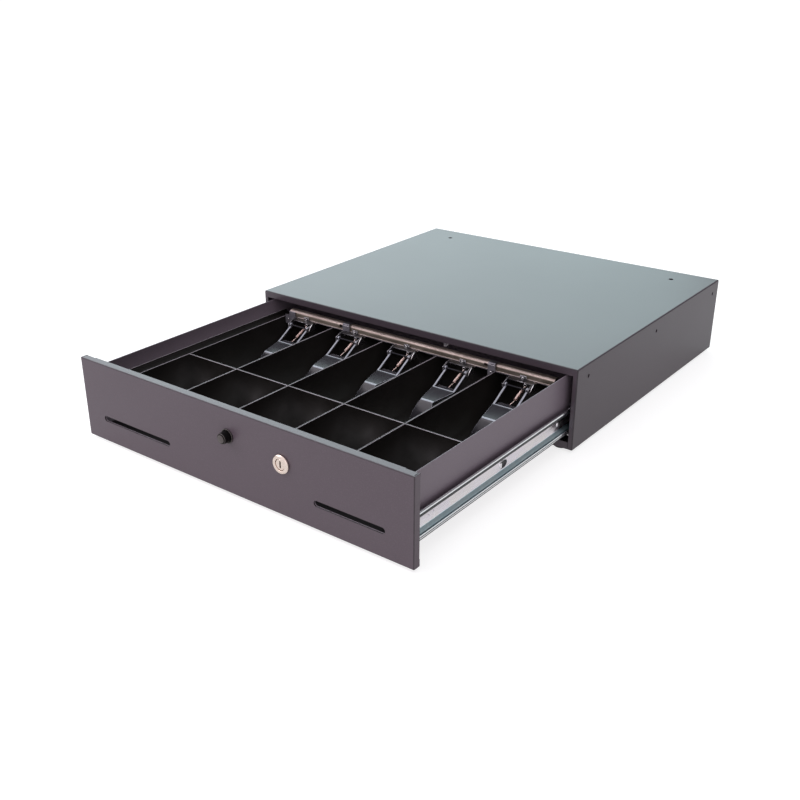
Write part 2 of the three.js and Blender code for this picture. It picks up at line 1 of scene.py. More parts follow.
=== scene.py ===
import json
import math

import bmesh
import bpy
from mathutils import Matrix, Vector

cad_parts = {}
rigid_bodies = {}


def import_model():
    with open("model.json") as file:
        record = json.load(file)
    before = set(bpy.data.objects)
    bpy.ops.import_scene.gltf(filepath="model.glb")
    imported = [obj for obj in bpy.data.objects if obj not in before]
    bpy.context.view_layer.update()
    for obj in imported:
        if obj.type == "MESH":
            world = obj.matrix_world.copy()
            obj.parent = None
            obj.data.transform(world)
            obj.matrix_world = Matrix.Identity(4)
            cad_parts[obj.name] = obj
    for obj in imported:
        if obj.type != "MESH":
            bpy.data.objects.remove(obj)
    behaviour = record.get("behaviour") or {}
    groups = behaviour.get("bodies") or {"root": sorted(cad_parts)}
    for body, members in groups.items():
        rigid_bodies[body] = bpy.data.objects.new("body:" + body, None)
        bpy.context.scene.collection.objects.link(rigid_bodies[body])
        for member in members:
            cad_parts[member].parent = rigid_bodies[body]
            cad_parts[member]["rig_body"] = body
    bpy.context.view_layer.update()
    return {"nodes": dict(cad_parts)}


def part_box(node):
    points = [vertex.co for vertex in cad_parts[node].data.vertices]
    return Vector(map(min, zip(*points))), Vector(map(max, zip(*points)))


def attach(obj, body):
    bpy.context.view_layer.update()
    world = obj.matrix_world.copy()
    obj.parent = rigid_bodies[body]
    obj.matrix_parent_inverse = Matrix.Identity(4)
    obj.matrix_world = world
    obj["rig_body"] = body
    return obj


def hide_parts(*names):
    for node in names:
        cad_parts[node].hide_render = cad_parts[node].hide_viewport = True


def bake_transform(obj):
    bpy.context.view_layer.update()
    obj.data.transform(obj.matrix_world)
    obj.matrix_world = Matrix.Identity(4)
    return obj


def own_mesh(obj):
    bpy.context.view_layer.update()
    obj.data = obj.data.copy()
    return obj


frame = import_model()

# ---- places ----

MM = 0.001
case_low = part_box("case_cover")[0]
ORIGIN = Vector((0, case_low.y, case_low.z))  # middle of the case's front edge, on its underside


def spot(x, y, z):
    """A place in millimetres from the middle of the case's front edge, as a point of the frame."""
    return ORIGIN + Vector((x, y, z)) * MM


def placed(x, y, z):
    """The same place as a matrix."""
    return Matrix.Translation(spot(x, y, z))


X, Y, Z = range(3)


def extent(node, axis):
    """How far a CAD node reaches along an axis, in the same millimetres."""
    low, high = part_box(node)
    return (low[axis] - ORIGIN[axis]) / MM, (high[axis] - ORIGIN[axis]) / MM


SIDE = {"left": -1, "right": 1}  # which way x runs on each side
TILL_PITCH = 79.6  # from one note compartment to the next
COLUMNS = (-2, -1, 0, 1, 2)
SLIDE_MIDDLE = sum(extent("slide_inner_right", Z)) / 2  # height of the slides' centre line
HALF_INNER = SLIDE_MIDDLE - extent("slide_inner_right", Z)[0]
HALF_OUTER = SLIDE_MIDDLE - extent("slide_outer_right", Z)[0]
SLIDE_FACE = extent("slide_inner_right", X)[0]  # where the moving member lies on the drawer
SLIDE_WALL = extent("slide_outer_right", X)[1]  # where the fixed member lies on the case
INNER_SPAN = extent("slide_inner_right", Y)
OUTER_SPAN = extent("slide_outer_right", Y)
CAGE_SPAN = extent("ball_cage_right", Y)
RAIL_FRONT, RAIL_REAR = extent("hold_down_rail", Y)
RAIL_LOW, RAIL_TOP = extent("hold_down_rail", Z)
PANEL_SCREW_SEAT = extent("panel_screw_upper_right", Y)[0] - 0.1
BACK_SCREW_SEAT = extent("back_screw_upper_right", Y)[0] - 0.1

TOWARDS_Y = Matrix.Rotation(math.radians(-90), 4, "X")  # turns +Z to +Y
TOWARDS_FRONT = Matrix.Rotation(math.radians(90), 4, "X")  # turns +Z to -Y
# Turns +X to +Y, +Y to +Z and +Z to +X.
ALONG_X = Matrix(((0, 0, 1, 0), (1, 0, 0, 0), (0, 1, 0, 0), (0, 0, 0, 1)))


# ---- mesh code ----


def full_turn(steps):
    """Evenly spaced angles round a circle."""
    return [2 * math.pi * k / steps for k in range(steps)]


def sweep(bm, path, radius, sides=8, closed=False):
    """A round wire along a path of points."""
    count = len(path)
    rings = []
    normal = None
    for i, point in enumerate(path):
        ahead = path[(i + 1) % count] if closed or i < count - 1 else point
        behind = path[i - 1] if closed or i > 0 else point
        along = (ahead - behind).normalized()
        if normal is None:
            normal = along.orthogonal().normalized()
        normal = (normal - along * normal.dot(along)).normalized()
        side = along.cross(normal)
        spokes = [normal * math.cos(a) + side * math.sin(a) for a in full_turn(sides)]
        rings.append([bm.verts.new(point + radius * spoke) for spoke in spokes])
    spans = count if closed else count - 1
    for i in range(spans):
        near, far = rings[i], rings[(i + 1) % count]
        for k in range(sides):
            bm.faces.new((near[k], near[k - 1], far[k - 1], far[k]))
    if not closed:
        bm.faces.new(rings[0])
        bm.faces.new(rings[-1][::-1])


def lathe(bm, profile, matrix, steps=32):
    """A profile of (radius, height) pairs in millimetres, spun about the matrix's Z axis."""
    rings = []
    for radius, height in profile:
        if radius == 0:
            rings.append([bm.verts.new(matrix @ Vector((0, 0, height * MM)))])
            continue
        circle = [Vector((radius * math.cos(a), radius * math.sin(a), height)) for a in full_turn(steps)]
        rings.append([bm.verts.new(matrix @ (point * MM)) for point in circle])
    for low, high in zip(rings, rings[1:]):
        for k in range(steps):
            lower = [low[k % len(low)], low[(k + 1) % len(low)]]
            upper = [high[(k + 1) % len(high)], high[k % len(high)]]
            distinct = list(dict.fromkeys(lower + upper))
            if len(distinct) > 2:
                bm.faces.new(distinct)


def extrude(bm, outline, matrix, span):
    """An outline in the matrix's (x, y), drawn along its z over a span, all in millimetres."""
    ends = [[bm.verts.new(matrix @ (Vector((a, b, h)) * MM)) for a, b in outline] for h in span]
    count = len(outline)
    for k in range(count):
        bm.faces.new((ends[0][k - 1], ends[0][k], ends[1][k], ends[1][k - 1]))
    bm.faces.new(ends[0][::-1])
    bm.faces.new(ends[1])


def ribbon(path, thickness):
    """The closed outline of a strip whose middle follows a path."""
    points = [Vector(p) for p in path]
    sides = ([], [])
    for i, point in enumerate(points):
        ahead = points[min(i + 1, len(points) - 1)]
        behind = points[max(i - 1, 0)]
        along = (ahead - behind).normalized()
        across = Vector((-along.y, along.x)) * thickness / 2
        sides[0].append(point + across)
        sides[1].append(point - across)
    return sides[0] + sides[1][::-1]


def arc(centre, radius, start, end, steps=6):
    """Points on a round stretch, from one angle to another in degrees."""
    angles = [math.radians(start + (end - start) * k / steps) for k in range(steps + 1)]
    return [(centre[0] + radius * math.cos(a), centre[1] + radius * math.sin(a)) for a in angles]


def dome(radius, height, step, count, base=0.0):
    """Profile of a domed head from its rim inwards, with a point at each step in degrees."""
    angles = [math.radians(step * k) for k in range(count)]
    return [(radius * math.cos(a), base + height * math.sin(a)) for a in angles]


def helix(start, end, radius, turns, steps=14, ramp=0.0):
    """Points of a coil between two points. ramp is the share of its length that closes up at each end."""
    axis = end - start
    along = axis.normalized()
    normal = along.orthogonal().normalized()
    side = along.cross(normal)
    points = []
    count = int(turns * steps)
    for k in range(count + 1):
        t = k / count
        angle = 2 * math.pi * turns * t
        spoke = normal * math.cos(angle) + side * math.sin(angle)
        points.append(start + axis * eased(t, ramp) + radius * spoke)
    return points


def eased(t, ramp):
    """t from 0 to 1, held back near both ends so that a coil's last turns lie close together."""
    return t - ramp * (math.sin(2 * math.pi * t) / (2 * math.pi))


def smoothed(points, steps=5):
    """A Catmull-Rom curve through a few points."""
    ends = [points[0] * 2 - points[1], *points, points[-1] * 2 - points[-2]]
    curve = []
    for a, b, c, d in zip(ends, ends[1:], ends[2:], ends[3:]):
        for k in range(steps):
            t = k / steps
            curve.append(0.5 * (2 * b + (c - a) * t + (2 * a - 5 * b + 4 * c - d) * t * t
                                + (3 * b - a - 3 * c + d) * t ** 3))
    return [*curve, points[-1]]


# ---- pieces ----

WELD = 2e-6  # metres between corners that are one
FLAT = 0.5  # degrees between faces that are one
SHARP = 36  # degrees between faces from which their shared edge is rounded


def linked(name, data):
    """A new object in the scene, for a mesh, a light or a camera."""
    obj = bpy.data.objects.new(name, data)
    bpy.context.scene.collection.objects.link(obj)
    return obj


def object_from(name, bm):
    """An object that holds the mesh code's result, with its faces turned outwards."""
    bmesh.ops.recalc_face_normals(bm, faces=bm.faces)
    mesh = bpy.data.meshes.new(name)
    bm.to_mesh(mesh)
    bm.free()
    return linked(name, mesh)


def dress(obj, look, body, replaces=(), smooth=None):
    """Gives a piece its materials, its shading, the body it rides on and the nodes it stands for."""
    obj.data.materials.clear()
    for material in look:
        obj.data.materials.append(material)
    obj.data.shade_smooth()
    if smooth:
        obj.data.set_sharp_from_angle(angle=math.radians(smooth))
    if body:
        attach(obj, body)
    if replaces:
        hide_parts(*replaces)


def bevel(obj, width, segments, edge_slot):
    """Rounds the edges that carry a bevel weight; a weight of 1 is the full width in millimetres.

    The rounding takes the material at edge_slot.
    """
    rounding = obj.modifiers.new("rounded edges", "BEVEL")
    rounding.limit_method = "WEIGHT"
    rounding.width = width * MM
    rounding.segments = segments
    rounding.use_clamp_overlap = False
    rounding.material = edge_slot
    flats = obj.modifiers.new("flat faces", "WEIGHTED_NORMAL")
    flats.mode = "FACE_AREA"
    flats.weight = 100
    flats.keep_sharp = True


def weigh_edges(obj, widths):
    """Writes the bevel weight of each sharp outer edge. widths(edge) gives its rounding in millimetres."""
    bm = bmesh.new()
    bm.from_mesh(obj.data)
    layer = bm.edges.layers.float.new("bevel_weight_edge")
    outer = [e for e in bm.edges if e.is_manifold and e.is_convex]
    sharp = {e: widths(e) for e in outer if e.calc_face_angle() > math.radians(SHARP)}
    widest = max(sharp.values(), default=1)
    for edge, width in sharp.items():
        edge[layer] = width / widest
    bm.to_mesh(obj.data)
    bm.free()
    return widest


def plain_copy(node):
    """A copy of a CAD node's shape: corners welded and faces that lie in one plane joined."""
    bm = bmesh.new()
    bm.from_mesh(frame["nodes"][node].data)
    bmesh.ops.remove_doubles(bm, verts=bm.verts, dist=WELD)
    bmesh.ops.dissolve_limit(bm, angle_limit=math.radians(FLAT), verts=bm.verts, edges=bm.edges)
    bm.verts.index_update()
    places = [v.co.copy() for v in bm.verts]
    corners = [[v.index for v in f.verts] for f in bm.faces]
    bm.free()
    mesh = bpy.data.meshes.new(node + "_finished")
    mesh.from_pydata(places, [], corners)
    return linked(node + "_finished", mesh)


def finished(node, look, width, fold=None, is_fold=None, segments=2):
    """A CAD node with rounded edges: small on cut edges, larger where is_fold says the sheet was folded."""
    obj = plain_copy(node)
    dress(obj, look, frame["nodes"][node]["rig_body"], [node])

    def widths(edge):
        if is_fold and all(is_fold(v.co) for v in edge.verts):
            return fold
        return width

    widest = weigh_edges(obj, widths)
    bevel(obj, widest, segments, edge_slot=len(look) - 1)
    return obj


def built(name, bm, look, body, replaces=(), width=0, smooth=40):
    """A piece of mesh code, with its sharp edges rounded where a width is given."""
    obj = object_from(name, bm)
    dress(obj, look, body, replaces, smooth=None if width else smooth)
    if width:
        weigh_edges(obj, lambda edge: width)
        bevel(obj, width, 2, edge_slot=len(look) - 1)
    return obj


def refinish(obj, place_of):
    """Gives each face the material at the place in the look that place_of(face) names."""
    for face in obj.data.polygons:
        face.material_index = place_of(face)


# ---- material building blocks ----

FACTOR, FIRST, SECOND, MIXED = 0, 6, 7, 2  # a colour Mix node's three inputs and its output


class Surface:
    """A material under construction: one Principled shader, with patterns in the object's own space."""

    def __init__(self, name, **sockets):
        self.material = bpy.data.materials.new(name)
        self.material.use_nodes = True
        self.tree = self.material.node_tree
        self.shader = self.tree.nodes["Principled BSDF"]
        self.place = self.tree.nodes.new("ShaderNodeTexCoord").outputs["Object"]
        self.normal = None
        for socket, value in sockets.items():
            self.shader.inputs[socket.replace("_", " ")].default_value = value

    def stretched(self, along):
        mapping = self.tree.nodes.new("ShaderNodeMapping")
        mapping.inputs["Scale"].default_value = along
        self.tree.links.new(self.place, mapping.inputs["Vector"])
        return mapping.outputs["Vector"]

    def noise(self, scale, detail=3.0, along=(1, 1, 1), distortion=0.0):
        texture = self.tree.nodes.new("ShaderNodeTexNoise")
        texture.inputs["Scale"].default_value = scale
        texture.inputs["Detail"].default_value = detail
        texture.inputs["Distortion"].default_value = distortion
        self.tree.links.new(self.stretched(along), texture.inputs["Vector"])
        return texture.outputs["Fac"]

    def ranged(self, value, low, high, start=0.35, end=0.65):
        node = self.tree.nodes.new("ShaderNodeMapRange")
        node.inputs["From Min"].default_value = start
        node.inputs["From Max"].default_value = end
        node.inputs["To Min"].default_value = low
        node.inputs["To Max"].default_value = high
        self.tree.links.new(value, node.inputs["Value"])
        return node.outputs["Result"]

    def mixed(self, amount, first, second):
        """A colour between two; each is an RGB triple or an output."""
        node = self.tree.nodes.new("ShaderNodeMix")
        node.data_type = "RGBA"
        self.tree.links.new(amount, node.inputs[FACTOR])
        for socket, colour in ((node.inputs[FIRST], first), (node.inputs[SECOND], second)):
            if isinstance(colour, tuple):
                socket.default_value = (*colour, 1)
            else:
                self.tree.links.new(colour, socket)
        return node.outputs[MIXED]

    def colour(self, output):
        self.tree.links.new(output, self.shader.inputs["Base Color"])

    def roughness(self, output):
        self.tree.links.new(output, self.shader.inputs["Roughness"])

    def bump(self, height, depth, strength):
        """Relief of a depth in millimetres, on top of any relief so far."""
        node = self.tree.nodes.new("ShaderNodeBump")
        node.inputs["Strength"].default_value = strength
        node.inputs["Distance"].default_value = depth * MM
        self.tree.links.new(height, node.inputs["Height"])
        if self.normal:
            self.tree.links.new(self.normal, node.inputs["Normal"])
        self.normal = node.outputs["Normal"]
        self.tree.links.new(self.normal, self.shader.inputs["Normal"])


def shade_of(colour, factor):
    """The same colour, lighter or darker."""
    return tuple(min(1.0, c * factor) for c in colour)


# ---- materials ----


def powder_coat(name, colour, rough, wear=0.0):
    """Fine-textured powder coat: orange peel, faint mottling, and rubbed patches where wear is given."""
    paint = Surface(name, Metallic=0.0, Specular_IOR_Level=0.42)
    mottled = paint.mixed(paint.noise(9, 4, distortion=0.4), shade_of(colour, 0.95), shade_of(colour, 1.05))
    flecks = paint.ranged(paint.noise(1400, 1), 0, 0.35, 0.55, 0.75)
    tone = paint.mixed(flecks, mottled, shade_of(colour, 1.7))
    if wear:
        rubbed = paint.ranged(paint.noise(160, 5), 0, wear, 0.45, 0.62)
        tone = paint.mixed(rubbed, tone, shade_of(colour, 2.6))
    paint.colour(tone)
    paint.roughness(paint.ranged(paint.noise(7, 3), rough - 0.012, rough + 0.012, 0.2, 0.8))
    paint.bump(paint.noise(620, 2), 0.03, 0.35)
    paint.bump(paint.noise(2600, 1), 0.008, 0.3)
    return paint.material


def plated(name, first, second, rough, brushed=(1, 1, 1), relief=0.004, metallic=1.0):
    """Plated metal: two close tones in soft clouds, with fine drawing marks along the sheet."""
    metal = Surface(name, Metallic=metallic)
    clouds = metal.mixed(metal.ranged(metal.noise(38, 3, distortion=1.2), 0, 1), first, second)
    marks = metal.noise(900, 3, along=brushed)
    metal.colour(metal.mixed(metal.ranged(marks, 0, 0.25), clouds, shade_of(first, 0.6)))
    metal.roughness(metal.ranged(metal.noise(120, 4, along=brushed), rough - 0.06, rough + 0.08))
    metal.bump(marks, relief, 0.5)
    return metal.material


def moulded(name, colour, rough, grain=0.012, wear=0.0, shine=0.4):
    """Moulded plastic: spark-eroded grain, faint flow marks and a little shine where it is touched."""
    plastic = Surface(name, Metallic=0.0, Specular_IOR_Level=shine)
    flow = plastic.noise(18, 4, distortion=1.5)
    tone = plastic.mixed(flow, shade_of(colour, 0.8), shade_of(colour, 1.25))
    if wear:
        scuffs = plastic.ranged(plastic.noise(210, 5, along=(1, 0.3, 1)), 0, wear, 0.55, 0.72)
        tone = plastic.mixed(scuffs, tone, shade_of(colour, 3.0))
    plastic.colour(tone)
    plastic.roughness(plastic.ranged(plastic.noise(60, 4), rough * 0.85, rough * 1.15))
    plastic.bump(plastic.noise(1900, 2), grain, 0.4)
    return plastic.material


CASE_PAINT = (0.052, 0.041, 0.050)
# The case's paint made lighter for the front panel: painted light for the stronger light on its front.
LIGHTENED_PANEL_PAINT = (0.075, 0.057, 0.070)
DRAWER_PAINT = (0.135, 0.109, 0.131)

case_paint = [
    powder_coat("case_paint", CASE_PAINT, 0.34),
    # Half the paint's colour on the rounded edges and folds is a painted dark reflection; the rubbed
    # patches are wear.
    powder_coat("case_paint_edge_wear_and_shade", shade_of(CASE_PAINT, 0.5), 0.5, 0.15),
]
# Near-black painted shadow for the media slots' edges and the drawer's faces behind the panel and under the
# till.
gap_shadow = powder_coat("drawer_gap_shadow", (0.006, 0.005, 0.006), 0.6)
panel_paint = [
    powder_coat("panel_paint", LIGHTENED_PANEL_PAINT, 0.36),
    gap_shadow,
    # Half the paint's colour on the rounded edges and folds is a painted dark reflection; the rubbed
    # patches are wear.
    powder_coat("panel_paint_edge_wear_and_shade", shade_of(LIGHTENED_PANEL_PAINT, 0.5), 0.5, 0.15),
]
drawer_paint = [
    powder_coat("drawer_paint", DRAWER_PAINT, 0.42),
    gap_shadow,
    powder_coat("drawer_paint_edge", DRAWER_PAINT, 0.45, 0.22),
]
zinc = [plated("zinc", (0.84, 0.83, 0.86), (0.88, 0.84, 0.82), 0.2, brushed=(1, 0.02, 1))]
slide_zinc = [
    plated("slide_web", (0.93, 0.89, 0.95), (0.96, 0.92, 0.91), 0.22, brushed=(1, 0.02, 1)),
    # teal on the lower track: a painted reflection of the cyan light above
    plated("slide_track_reflection", (0.66, 0.88, 0.93), (0.80, 0.98, 1.0), 0.36, brushed=(1, 0.01, 1)),
    # near-black painted shadow for the tracks' hollows, under the lips and behind the lance's hole
    moulded("track_shadow", (0.012, 0.014, 0.016), 0.3, grain=0.004),
    plated("slide_lip", (0.90, 0.93, 0.95), (0.95, 0.96, 0.97), 0.2, brushed=(1, 0.02, 1)),
    # dark teal: painted shadow along a crease in the lower track
    plated("slide_crease_shadow", (0.16, 0.26, 0.29), (0.22, 0.34, 0.37), 0.2, brushed=(1, 0.01, 1)),
]
clip_zinc = [
    plated("clip_zinc", (0.17, 0.165, 0.185), (0.24, 0.23, 0.26), 0.5, brushed=(0.05, 1, 1), metallic=0.5),
    # bright rounded edges: painted highlight
    plated("clip_zinc_highlight", (0.80, 0.78, 0.82), (0.88, 0.86, 0.88), 0.3),
]
yellow_zinc = [
    plated("yellow_zinc", (0.27, 0.235, 0.19), (0.36, 0.31, 0.26), 0.5, brushed=(0.02, 1, 1)),
    # paler zinc on the rail's upward faces: painted highlight
    plated("yellow_zinc_highlight", (0.48, 0.40, 0.37), (0.62, 0.53, 0.49), 0.6, brushed=(0.02, 1, 1)),
    plated("yellow_zinc_hem", (0.40, 0.38, 0.42), (0.48, 0.46, 0.50), 0.45, brushed=(0.02, 1, 1)),
]
nickel = [plated("nickel", (0.92, 0.79, 0.70), (0.84, 0.71, 0.62), 0.24, relief=0.002)]
copper_wire = [plated("copper_wire", (0.86, 0.66, 0.60), (0.94, 0.76, 0.70), 0.3, relief=0.002)]
spring_steel = [plated("spring_steel", (0.52, 0.52, 0.54), (0.62, 0.60, 0.60), 0.3, relief=0.002)]
bracket_steel = [
    moulded("bracket_steel", (0.020, 0.019, 0.021), 0.3, grain=0.004),
    # bright rounded edges: painted highlight
    plated("bracket_steel_highlight", (0.62, 0.60, 0.64), (0.74, 0.72, 0.76), 0.4, relief=0.002),
]
blued_steel = [plated("blued_steel", (0.020, 0.020, 0.024), (0.030, 0.029, 0.032), 0.4, relief=0.002)]
till_plastic = [
    moulded("till_plastic", (0.008, 0.0068, 0.0060), 0.5, wear=0.1, shine=0.18),
    # lighter rounded edges: painted highlight, with scuffs
    moulded("till_plastic_highlight", (0.30, 0.27, 0.30), 0.5, wear=0.1),
]
paddle_plastic = [
    moulded("paddle_plastic", (0.030, 0.029, 0.034), 0.2, grain=0.001, wear=0.1, shine=0.3),
    # light colour on the arms, the toe's crest and the rounded edges: painted highlight, with scuffs
    moulded("paddle_plastic_highlight", (0.28, 0.29, 0.33), 0.3, grain=0.002, wear=0.1),
]
button_plastic = [
    moulded("button_plastic", (0.004, 0.0035, 0.0035), 0.4, grain=0.004, wear=0.05, shine=0.1),
    # lighter: the cap's front face, and a painted highlight on the rounded edges of the button and its
    # bezel
    moulded("button_cap_and_edge_highlight", (0.060, 0.050, 0.048), 0.35, grain=0.004, wear=0.1),
]
rubber = [moulded("rubber", (0.015, 0.015, 0.015), 0.8, grain=0.03)]


# ---- sheet metal ----

SHEET_EDGE = 0.28
COVER_FOLD = 1.15  # stays under the sheet's thickness, so that the rounding doesn't fold back over itself
PAN_FOLD = 0.9
SLOT_LOW, SLOT_TOP = 24.8, 31.6  # heights of the media slots' edges
SLOT_REACH = 200  # the slots lie within this of the panel's middle
BEND = 1.9  # how far a fold's rounding reaches from the corner
HAIR = 0.05 * MM  # points this close to a plane lie on it
FACING = 0.9  # a face looks along an axis when its normal's part along it is more than this


def on_mouth_rim(low, high):
    """Points on the front plane of a folded box, along its outer outline."""
    def test(co):
        near_side = abs(co.x) > high.x - BEND * MM
        near_top = co.z > high.z - BEND * MM
        near_bottom = co.z < low.z + 0.1 * MM and near_side
        return abs(co.y - low.y) < HAIR and (near_side or near_top or near_bottom)
    return test


def on_panel_rim(low, high):
    """Points on the front plane of the panel, along its outline."""
    def test(co):
        sides = abs(abs(co.x) - high.x) < HAIR
        ends = min(abs(co.z - high.z), abs(co.z - low.z)) < HAIR
        return abs(co.y - low.y) < HAIR and (sides or ends)
    return test


def on_tray_bottom(low, high):
    """Points along the folded bottom of the drawer's pan."""
    def test(co):
        outer = abs(abs(co.x) - high.x) < HAIR or abs(co.y - low.y) < HAIR
        return outer and abs(co.z - low.z) < HAIR
    return test


def case_sheets():
    """The cover, whose mouth is folded, the floor pan and the rear panel."""
    mouth = on_mouth_rim(*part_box("case_cover"))
    finished("case_cover", case_paint, SHEET_EDGE, COVER_FOLD, mouth, 3)
    finished("case_base", case_paint, SHEET_EDGE)
    finished("case_back", case_paint, SHEET_EDGE)


def front_panel():
    """Painted outside, with painted shadow on the media slots' edges."""
    rim = on_panel_rim(*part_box("front_panel"))
    panel = finished("front_panel", panel_paint, SHEET_EDGE, PAN_FOLD, rim, 3)
    slot_low, slot_top = spot(0, 0, SLOT_LOW).z, spot(0, 0, SLOT_TOP).z

    def in_slot(face):
        edge = abs(face.normal.y) < 0.3 and slot_low < face.center.z < slot_top
        return edge and abs(face.center.x) < SLOT_REACH * MM

    refinish(panel, lambda face: 1 if in_slot(face) else 0)


def drawer_tray():
    """Painted outside, with painted shadow on the front wall behind the panel and on the floor under the
    till.
    """
    low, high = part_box("drawer_tray")
    folds = on_tray_bottom(low, high)
    tray = finished("drawer_tray", drawer_paint, SHEET_EDGE, PAN_FOLD, folds)

    def in_shadow(face):
        behind_panel = face.normal.y < -FACING and face.center.y < low.y + 2 * MM
        under_till = face.normal.z > FACING and face.center.z < low.z + 3 * MM
        return behind_panel or under_till

    refinish(tray, lambda face: 1 if in_shadow(face) else 0)


def sheet_metal():
    case_sheets()
    front_panel()
    drawer_tray()
    finished("till_tray", till_plastic, 0.45)
    finished("lock_strike", zinc, 0.25)
    finished("latch_bracket", zinc, 0.2)
    finished("latch_plate", zinc, 0.25)
    for hand in ("end", "left", "right"):
        finished("rail_foot_" + hand, clip_zinc, 0.2)


# ---- turned pieces ----


def feet():
    """Rubber feet with a dished sole, a rounded rim and a barbed neck that snaps into the base."""
    profile = [
        (0, -3.1), (5.4, -3.1), (5.9, -3.6), (7.6, -3.6), (8.2, -3.35), (8.5, -2.8), (8.5, -1.2),
        (8.2, -0.6), (7.6, -0.3), (2.4, -0.3), (2.4, 1.5), (3.2, 1.5), (2.6, 2.8), (1.4, 4.2), (0, 4.2),
    ]
    for hand, side in SIDE.items():
        for end, y in (("front", 12), ("rear", 372)):
            bm = bmesh.new()
            lathe(bm, profile, placed(side * 207, y, 0), 40)
            node = f"foot_{end}_{hand}"
            built(node + "_moulded", bm, rubber, "case", [node], width=0.15)


def pan_screw(name, x, y, z, head, body, replaces):
    """Pan-head screw that faces +Y, with a cross recess."""
    bm = bmesh.new()
    seat = 0.1
    crown = dome(head, 1.9, 9, 7, seat)
    profile = [(0, seat), (head, seat), *crown, (head * 0.42, 2.0), (0, 2.0)]
    lathe(bm, profile, placed(x, y, z) @ TOWARDS_Y, 28)
    obj = built(name, bm, zinc, body, replaces)
    carve(obj, [cross_recess(x, y + 1.2, z)])


def cross_recess(x, y, z):
    """A cutter for a cross recess. One arm starts a hair deeper, so that their floors don't coincide."""
    bm = bmesh.new()
    arm = [(-1.9, -0.35), (1.9, -0.35), (1.9, 0.35), (-1.9, 0.35)]
    for turn in (0, 90):
        quarter = Matrix.Rotation(math.radians(turn), 4, "Z")
        extrude(bm, arm, placed(x, y, z) @ TOWARDS_Y @ quarter, (turn * 1e-4, 3))
    return object_from("recess", bm)


def carve(obj, cutters):
    """Cuts shapes out of a piece for good, and deletes them."""
    for cutter in cutters:
        modifier = obj.modifiers.new("carve", "BOOLEAN")
        modifier.operation = "DIFFERENCE"
        modifier.solver = "EXACT"
        modifier.use_self = True
        modifier.object = cutter
    bpy.context.view_layer.update()
    graph = bpy.context.evaluated_depsgraph_get()
    mesh = bpy.data.meshes.new_from_object(obj.evaluated_get(graph))
    obj.modifiers.clear()
    obj.data = mesh
    for cutter in cutters:
        bpy.data.objects.remove(cutter)


def screws():
    """Four behind the case and four in the drawer's front wall, at (x, z) places that mirror each other."""
    for height, back, panel in (("upper", (192, 84), (190, 74)), ("lower", (192, 8), (205, 18))):
        for hand, side in SIDE.items():
            node = f"back_screw_{height}_{hand}"
            pan_screw(node + "_turned", side * back[0], BACK_SCREW_SEAT, back[1], 3.4, "case", [node])
            node = f"panel_screw_{height}_{hand}"
            pan_screw(node + "_turned", side * panel[0], PANEL_SCREW_SEAT, panel[1], 2.8, "drawer", [node])


def button_and_lock():
    finished("button_bezel", button_plastic, 0.2, segments=3)
    button = finished("release_button", button_plastic, 0.3, segments=3)
    refinish(button, lambda face: 1 if face.normal.y < -FACING else 0)
    finished("lock_cylinder", nickel, 0.3, segments=3)
    finished("lock_plug", nickel, 0.2)
    finished("lock_nut", zinc, 0.4)
    finished("lock_cam", zinc, 0.25)


# ---- ball slides ----

WEB_FACE = 1.1  # from the drawer to the outside of the moving member's web


def inner_profile():
    """Moving member's section, as (distance from the drawer, height from the centre line).

    The web turns out at 45 degrees to the ball track, and the sheet comes back as a bulging lip.
    """
    thick = 0.8
    turn = HALF_INNER - thick / 2 - 0.85
    lip = [(5.3, turn), (5.5, 13.0), (5.62, 12.35), (5.56, 11.8), (5.5, 11.0), (5.2, 9.8)]
    upper = [(0.7, 0), (0.7, 5.4), (0.9, 6.0), (1.6, 6.6), (1.9, 7.1), (2.6, 7.7), (3.1, 8.5), (3.6, 9.1)]
    upper += arc((4.45, turn), 0.85, 180, 0, 6)[:-1] + lip
    lower = [(x, -z) for x, z in upper[:0:-1]]
    return ribbon(lower + upper, thick)


def outer_profile():
    """Fixed member's section, as (distance from the drawer, height from the centre line)."""
    thick = 1.1
    web = SLIDE_WALL - SLIDE_FACE - 0.6
    top = HALF_OUTER - thick / 2
    steps = [k / 8 for k in range(9)]
    flange = [(web - 2.2 - 4.2 * t, top - 0.6 * math.sin(math.pi * t)) for t in steps]
    upper = [(web, 0), (web, top - 2)] + arc((web - 1.7, top - 1.7), 1.7, 0, 90, 5) + flange
    upper += [(web - 8.2, top), (web - 9.4, top - 0.7)]
    lower = [(x, -z) for x, z in upper[:0:-1]]
    return ribbon(lower + upper, thick)


def slide_frame(hand):
    """From a slide's section and length to the frame: x away from the drawer, y up, z along +Y."""
    basis = Matrix(((SIDE[hand], 0, 0, 0), (0, 0, 1, 0), (0, 1, 0, 0), (0, 0, 0, 1)))
    return placed(SIDE[hand] * SLIDE_FACE, 0, SLIDE_MIDDLE) @ basis


def slide_member(name, node, outline, span, hand, body, cutters=()):
    """A rolled member of a slide, with any holes cut for good."""
    bm = bmesh.new()
    extrude(bm, outline, slide_frame(hand), span)
    obj = built(name, bm, slide_zinc, body, [node], smooth=30)
    if cutters:
        carve(obj, cutters)
    return obj


